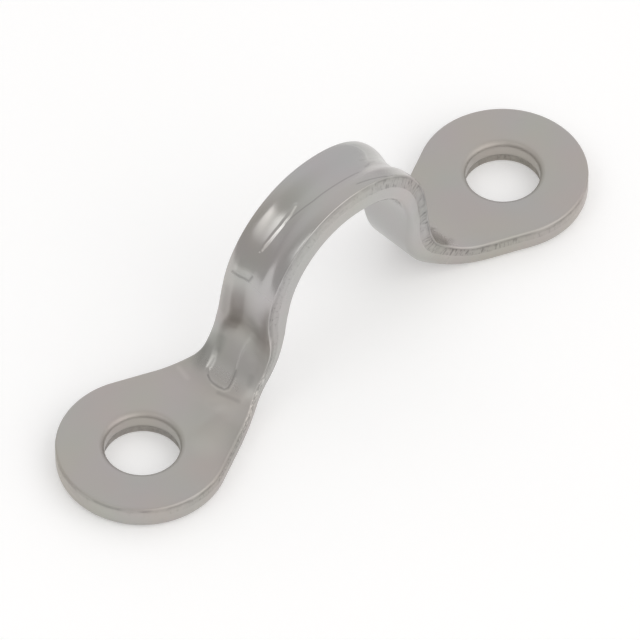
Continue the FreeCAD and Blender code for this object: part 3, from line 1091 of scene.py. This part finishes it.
streak_place = words.join(words.times(lie_x, STREAKS_ALONG), words.times(lie_y, STREAKS_ACROSS), lie_z)
streaks = words.noise(streak_place, 1.0, 3.0, 0.6)
clouds = words.noise(lie, CLOUDS, 3.0, 0.6)
roughness = words.add(BOW_ROUGHNESS, words.times(words.take(streaks, 0.5), BY_STREAKS))
roughness = words.add(roughness, words.times(words.take(clouds, 0.5), BY_CLOUDS))
roughness = words.add(roughness, words.add(words.times(on_leg, LEG_DULL),
                                           words.times(lug_skin, LUG_DULL)))
worn_corner = words.times(words.soft(words.times(lie_y, -1.0), 2.2 * MM, 3.0 * MM),
                          stretch(-36, -32, -23, -20))
roughness = words.add(roughness, words.times(worn_corner, WORN_DULL))
rounded = words.times(below(0.01, 0.07), above(0.5, 0.75))
roughness = words.add(roughness, words.times(rounded, ROUNDED_DULL))
words.feed(shader.inputs["Roughness"], words.add(roughness, words.times(band, BAND_DULL)))
print("with gloss:", len(steel.node_tree.nodes), "nodes")

# %% [markdown]
# ## Relief
#
# What is left is too fine for the mesh, so a bump does it: the tumbled grain, a low swell that keeps
# large mirrored patches from looking too perfect, the streaks, the strokes and the marks. All heights
# are true lengths, so the bump's own strength and distance stay at 1.

# %% Grain, swell and strokes as a bump
GRAIN, SWELL = 5200.0, 260.0
GRAIN_HEIGHT, SWELL_HEIGHT = 0.0007 * MM, 0.003 * MM
STREAK_HEIGHT, STROKE_DEPTH = 0.0004 * MM, 0.035 * MM
grain = words.noise(lie, GRAIN, 2.0, 0.6)
low_swell = words.noise(lie, SWELL, 2.0, 0.5)
relief = words.add(words.times(grain, GRAIN_HEIGHT), words.times(low_swell, SWELL_HEIGHT))
relief = words.add(relief, words.times(streaks, STREAK_HEIGHT))
relief = words.take(relief, words.times(dark_stroke, STROKE_DEPTH))
relief = words.add(relief, marks_relief)
bump = words.node("ShaderNodeBump")
bump.inputs["Strength"].default_value = 1.0
bump.inputs["Distance"].default_value = 1.0
words.feed(bump.inputs["Height"], relief)
words.feed(shader.inputs["Normal"], bump.outputs[0])
print("tumbled_stainless:", len(steel.node_tree.nodes), "nodes")

# %% [markdown]
# ## Press the blank
#
# The tree goes on the flat blank as a modifier, and each size is set by its socket's identifier. The
# evaluated result then becomes a plain mesh of its own. It stands in for the CAD node, which is hidden,
# and rides on the part's one body. The tree has already given it the stainless steel.

# %% Press it, and put the result on the part's body
press = flat.modifiers.new("press_and_bend", "NODES")
press.node_group = tree
for item in tree.interface.items_tree:
    if item.item_type == "SOCKET" and item.in_out == "INPUT":
        if item.name in settings:
            press[item.identifier] = settings[item.name]
        elif item.name == "Finish":
            press[item.identifier] = steel
bpy.context.view_layer.update()
pressed = flat.evaluated_get(bpy.context.evaluated_depsgraph_get())
eye = bpy.data.objects.new("eye_pressed", bpy.data.meshes.new_from_object(pressed))
eye.data.name = "eye_pressed"
bpy.context.scene.collection.objects.link(eye)
bpy.data.objects.remove(flat)
eye.data.shade_smooth()

spots = np.empty(len(eye.data.vertices) * 3)
eye.data.vertices.foreach_get("co", spots)
spots = spots.reshape(-1, 3)
print("pressed: box in mm", np.round((spots.max(0) - spots.min(0)) / MM, 2),
      "low %.3f high %.3f" % (spots[:, 2].min() / MM, spots[:, 2].max() / MM))

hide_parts("fender_eye")
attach(eye, "root")

# %% [markdown]
# ## The stage
#
# The picture is a plain catalogue view: the part on a white ground, seen from well above one side
# with a long lens. The ground looks plain white to the camera and in the metal, because it glows for
# those rays alone. To all other light it is pale paper, so it still keeps the part's soft shadow.

# %% Floor
FLOOR_HALF = 0.6
PAPER = 0.86
PAPER_ROUGHNESS, PAPER_SHEEN = 0.9, 0.1
# how much light the ground gets, which its own glow fills up to white
GROUND_LIGHT = 0.885


def plate(name, corners, material):
    """A flat sheet of the stage."""
    sheet_mesh = bpy.data.meshes.new(name)
    sheet_mesh.from_pydata(corners, [], [tuple(range(len(corners)))])
    sheet_mesh.materials.append(material)
    thing = bpy.data.objects.new(name, sheet_mesh)
    bpy.context.scene.collection.objects.link(thing)
    return thing


paper = bpy.data.materials.new("white_ground")
paper.use_nodes = True
shade = Rule(paper.node_tree)
matt = paper.node_tree.nodes["Principled BSDF"]
matt.inputs["Base Color"].default_value = (PAPER, PAPER, PAPER, 1.0)
matt.inputs["Roughness"].default_value = PAPER_ROUGHNESS
matt.inputs["Specular IOR Level"].default_value = PAPER_SHEEN
seen = shade.node("ShaderNodeLightPath").outputs
watched = shade.sum("MAXIMUM", seen["Is Camera Ray"],
                    shade.sum("MAXIMUM", seen["Is Glossy Ray"], seen["Is Transmission Ray"]))
matt.inputs["Emission Color"].default_value = (1, 1, 1, 1)
shade.feed(matt.inputs["Emission Strength"], shade.times(watched, 1 - PAPER * GROUND_LIGHT))
floor = plate("floor", [(-FLOOR_HALF, -FLOOR_HALF, 0), (FLOOR_HALF, -FLOOR_HALF, 0),
                        (FLOOR_HALF, FLOOR_HALF, 0), (-FLOOR_HALF, FLOOR_HALF, 0)], paper)
print("floor:", [round(size, 2) for size in floor.dimensions], "m")

# %% [markdown]
# ## The camera
#
# The camera stands far off with a long lens, so near and far lug look almost alike in size. Its place
# is given by two angles and a distance from the point it looks at, and it rolls a touch to one side.

# %% Camera
AZIMUTH, ELEVATION, ROLL = math.radians(45.09), math.radians(48.95), math.radians(-0.13)
DISTANCE = 1265 * MM
AIM = Vector((0.13, 0.79, 0)) * MM
# the focal length and the width of the picture in pixels, and the width of the sensor in millimetres
FOCAL_PIXELS, PICTURE_PIXELS, SENSOR = 11932, 640, 36
CLIP_NEAR, CLIP_FAR = 0.05, 5

forward = Vector((math.cos(ELEVATION) * math.cos(AZIMUTH), math.cos(ELEVATION) * math.sin(AZIMUTH),
                  -math.sin(ELEVATION)))
level_right = Vector((math.sin(AZIMUTH), -math.cos(AZIMUTH), 0))
lift = level_right.cross(forward)
right = level_right * math.cos(ROLL) + lift * math.sin(ROLL)
up = right.cross(forward)
lens = bpy.data.cameras.new("camera")
lens.sensor_width = SENSOR
lens.lens = SENSOR * FOCAL_PIXELS / PICTURE_PIXELS
lens.clip_start = CLIP_NEAR
lens.clip_end = CLIP_FAR
camera = bpy.data.objects.new("camera", lens)
bpy.context.scene.collection.objects.link(camera)
turned = Matrix((right, up, -forward)).transposed().to_4x4()
camera.matrix_world = Matrix.Translation(AIM - forward * DISTANCE) @ turned
bpy.context.scene.camera = camera
print("lens of %.0f mm at %.2f m" % (lens.lens, DISTANCE))

# %% [markdown]
# ## Light
#
# Bent metal shows its surroundings, so the light is laid out as a small studio: a soft grey room that
# is lighter behind the part and to its right, a broad soft lamp in front and to the right that makes
# the level, and a window of soft light to the left, which the bow mirrors as a bright patch.

# %% The room
SIDE_LEVEL, BACK_LEVEL, FRONT_LEVEL = 0.575, 0.85, 0.80
BACK_DIRECTION, FRONT_DIRECTION = (38, 25), (-80, 10)
WARM_AIR, COOL_AIR = (1.0, 0.985, 0.965, 1), (0.99, 0.985, 1.0, 1)


def heading(azimuth, elevation):
    """A direction as a vector of length 1, from two angles in degrees."""
    azimuth, elevation = math.radians(azimuth), math.radians(elevation)
    return Vector((math.cos(elevation) * math.cos(azimuth), math.cos(elevation) * math.sin(azimuth),
                   math.sin(elevation)))


world = bpy.data.worlds.new("studio")
bpy.context.scene.world = world
world.use_nodes = True
sky = Rule(world.node_tree)
air = world.node_tree.nodes["Background"]
direction = sky.node("ShaderNodeTexCoord").outputs["Generated"]


def toward(azimuth, elevation):
    """How nearly a direction is this one: 1 along it, 0 square to it."""
    made = sky.node("ShaderNodeVectorMath", operation="DOT_PRODUCT")
    sky.feed(made.inputs[0], direction)
    made.inputs[1].default_value = heading(azimuth, elevation)
    return made.outputs["Value"]


to_back = toward(*BACK_DIRECTION)
to_front = sky.soft(toward(*FRONT_DIRECTION), 0.2, 0.9)
room_level = sky.add(SIDE_LEVEL, sky.times(sky.soft(to_back, 0.05, 0.95), BACK_LEVEL - SIDE_LEVEL))
room_level = sky.add(room_level, sky.times(to_front, FRONT_LEVEL - SIDE_LEVEL))
tint = sky.node("ShaderNodeMix", data_type="RGBA")
sky.feed(tint.inputs["Factor"], sky.soft(to_back, 0.3, 1.0))
tint.inputs["A"].default_value = WARM_AIR
tint.inputs["B"].default_value = COOL_AIR
sky.feed(air.inputs["Color"], tint.outputs["Result"])
sky.feed(air.inputs["Strength"], room_level)
bpy.context.scene.view_settings.view_transform = "Standard"
print("room: %.2f at the sides, up to %.2f behind the part" % (SIDE_LEVEL, BACK_LEVEL))

# %% [markdown]
# ## Lamp and window
#
# The lamp's power follows from how bright its face looks, so its size can change without changing the
# look. The window is a glowing card that fills a range of directions. It gets brighter towards its
# top and is hidden from the camera, which never looks that way in this view but may in others.

# %% Lamps
STUDIO_RADIUS = 1.6
KEY_AZIMUTH, KEY_ELEVATION, KEY_SIZE, KEY_BRIGHTNESS = -80, 38, 1.9, 0.62
WINDOW_AZIMUTHS, WINDOW_ELEVATIONS = (148, 190), (33, 65)
WINDOW_LOW, WINDOW_HIGH = 0.8, 1.85


def soft_lamp(name, azimuth, elevation, size, brightness):
    """A square soft lamp that faces the part."""
    lamp = bpy.data.lights.new(name, "AREA")
    lamp.shape = "SQUARE"
    lamp.size = size
    lamp.energy = brightness * math.pi * size * size
    thing = bpy.data.objects.new(name, lamp)
    thing.location = heading(azimuth, elevation) * STUDIO_RADIUS
    thing.rotation_euler = (-thing.location).to_track_quat("-Z", "Y").to_euler()
    bpy.context.scene.collection.objects.link(thing)
    return thing


def card(name, azimuths, elevations, low, high):
    """A glowing card that fills a range of directions, brighter or darker towards its top."""
    glow = bpy.data.materials.new(name)
    glow.use_nodes = True
    glow.node_tree.nodes.remove(glow.node_tree.nodes["Principled BSDF"])
    light = Rule(glow.node_tree)
    _, height, _ = light.split(light.node("ShaderNodeTexCoord").outputs["UV"])
    shine = light.node("ShaderNodeEmission")
    light.feed(shine.inputs["Strength"], light.add(low, light.times(height, high - low)))
    light.feed(glow.node_tree.nodes["Material Output"].inputs["Surface"], shine.outputs[0])
    corners = [heading(azimuth, elevation) * STUDIO_RADIUS for azimuth, elevation in
               ((azimuths[0], elevations[0]), (azimuths[1], elevations[0]),
                (azimuths[1], elevations[1]), (azimuths[0], elevations[1]))]
    thing = plate(name, corners, glow)
    thing.data.uv_layers.new(name="card")
    for loop, spot in zip(thing.data.uv_layers["card"].data, ((0, 0), (1, 0), (1, 1), (0, 1))):
        loop.uv = spot
    thing.visible_camera = False
    return thing


key = soft_lamp("key", KEY_AZIMUTH, KEY_ELEVATION, KEY_SIZE, KEY_BRIGHTNESS)
window = card("window_left", WINDOW_AZIMUTHS, WINDOW_ELEVATIONS, WINDOW_LOW, WINDOW_HIGH)
print("key lamp: %.1f W," % key.data.energy, window.name, "from %d to %d degrees" % WINDOW_AZIMUTHS)

# %% [markdown]
